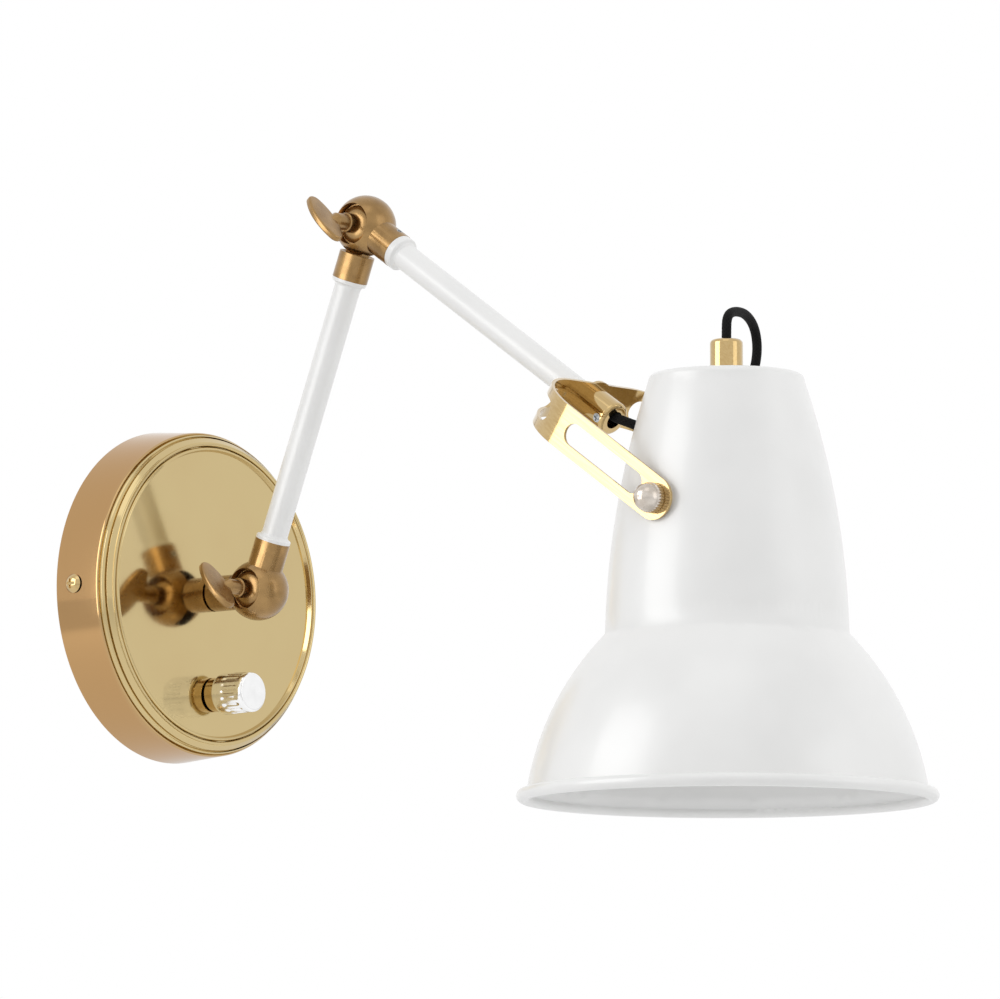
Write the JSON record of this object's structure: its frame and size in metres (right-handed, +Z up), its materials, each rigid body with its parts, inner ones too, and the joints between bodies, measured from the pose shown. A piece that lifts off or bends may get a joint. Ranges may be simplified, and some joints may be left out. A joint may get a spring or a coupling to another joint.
{
  "type": "articulating wall lamp",
  "caption": "Wall lamp with a stepped round brass backplate, two white tube arms on brass ball knuckles with wing screws, a slotted fork and a white bell shade.",
  "frame": {"origin": "centre of the backplate's rear face, on the wall", "axes": "+Z up, -Y out of the wall into the room, +X to the right seen from the wall into the room's left"},
  "size_m": [0.1447, 0.3293, 0.2253],
  "materials": {
    "satin_brass": "satin, lacquered",
    "aged_brass": "satin, slightly aged",
    "bright_brass": "polished",
    "plain_brass": "machined",
    "white_enamel": "gloss",
    "nickel": "polished",
    "chrome": "polished",
    "zinc_steel": "plated",
    "white_nylon": "matte",
    "black_plastic": "matte",
    "cable_sheath": "matte",
    "black_fabric": "woven",
    "lamp_glass": "frosted",
    "lamp_cap": "rolled"
  },
  "bodies": {
    "wall_plate": {"wall_bracket": "zinc_steel", "backplate": "satin_brass", "backplate_side_screws": "bright_brass", "terminal_block": "white_nylon", "terminal_screws": "zinc_steel", "dimmer_body": "black_plastic", "dimmer_nut": "bright_brass"},
    "dimmer_control": {"dimmer_shaft": "zinc_steel", "dimmer_knob": "chrome"},
    "stem": {"stem": "aged_brass", "stem_nipple": "plain_brass", "stem_lock_nut": "zinc_steel", "stem_spring_washer": "zinc_steel"},
    "lower_arm": {"lower_knuckle": "aged_brass", "lower_domed_washer": "aged_brass", "lower_friction_washers": "white_nylon", "lower_arm_tube": "white_enamel", "lower_arm_cable": "cable_sheath", "lower_arm_bottom_collar": "white_enamel", "lower_arm_top_collar": "white_enamel", "elbow_cup": "aged_brass", "lower_set_screw": "zinc_steel"},
    "lower_wing_screw": {"lower_wing_screw": "aged_brass"},
    "upper_arm": {"elbow_knuckle": "aged_brass", "elbow_domed_washer": "aged_brass", "elbow_friction_washers": "white_nylon", "elbow_set_screw": "zinc_steel", "upper_arm_tube": "white_enamel", "upper_arm_cable": "cable_sheath", "upper_arm_collar": "white_enamel", "fork_nipple": "plain_brass", "fork": "bright_brass", "arm_end_socket": "bright_brass", "arm_end_set_screw": "zinc_steel"},
    "elbow_wing_screw": {"elbow_wing_screw": "aged_brass"},
    "shade": {"shade": "white_enamel", "shade_spacers": "white_nylon", "shade_clamp_nuts": "plain_brass", "cord_gland": "bright_brass", "shade_nipple": "plain_brass", "shade_lock_nut": "zinc_steel", "lamp_holder_cap": "black_plastic", "lamp_holder": "black_plastic", "lamp_cap": "lamp_cap", "lamp_glass": "lamp_glass", "shade_cord": "black_fabric"},
    "shade_screw_left": {"shade_screw_left": "nickel"},
    "shade_screw_right": {"shade_screw_right": "nickel"}
  },
  "joints": [
    {"name": "dimmer_turn", "type": "hinge", "parent": "wall_plate", "child": "dimmer_control", "pos_m": [0, -0.0225, -0.0365], "axis": [0, 1, 0], "range_deg": [-150, 150]},
    {"name": "base_swivel", "type": "hinge", "parent": "wall_plate", "child": "stem", "pos_m": [0, -0.0225, 0], "axis": [0, 1, 0], "range_deg": [-90, 90]},
    {"name": "base_hinge", "type": "hinge", "parent": "stem", "child": "lower_arm", "pos_m": [0, -0.043, 0], "axis": [1, 0, 0], "range_deg": [-31.6, 48.4]},
    {"name": "lower_wing_turn", "type": "hinge", "parent": "lower_arm", "child": "lower_wing_screw", "pos_m": [0, -0.043, 0], "axis": [1, 0, 0], "range_deg": [-180, 180]},
    {"name": "elbow_hinge", "type": "hinge", "parent": "lower_arm", "child": "upper_arm", "pos_m": [0, -0.0934, 0.12729], "axis": [1, 0, 0], "range_deg": [-83.1, 3]},
    {"name": "elbow_wing_turn", "type": "hinge", "parent": "upper_arm", "child": "elbow_wing_screw", "pos_m": [0, -0.0934, 0.12729], "axis": [1, 0, 0], "range_deg": [-180, 180]},
    {"name": "shade_tilt", "type": "hinge", "parent": "upper_arm", "child": "shade", "pos_m": [0, -0.25692, 0.01406], "axis": [1, 0, 0], "range_deg": [-35, 45], "deforming": ["shade_cord"]},
    {"name": "left_screw_turn", "type": "hinge", "parent": "shade", "child": "shade_screw_left", "pos_m": [0, -0.25692, 0.01406], "axis": [1, 0, 0], "range_deg": [-180, 180]},
    {"name": "right_screw_turn", "type": "hinge", "parent": "shade", "child": "shade_screw_right", "pos_m": [0, -0.25692, 0.01406], "axis": [1, 0, 0], "range_deg": [-180, 180]}
  ]
}
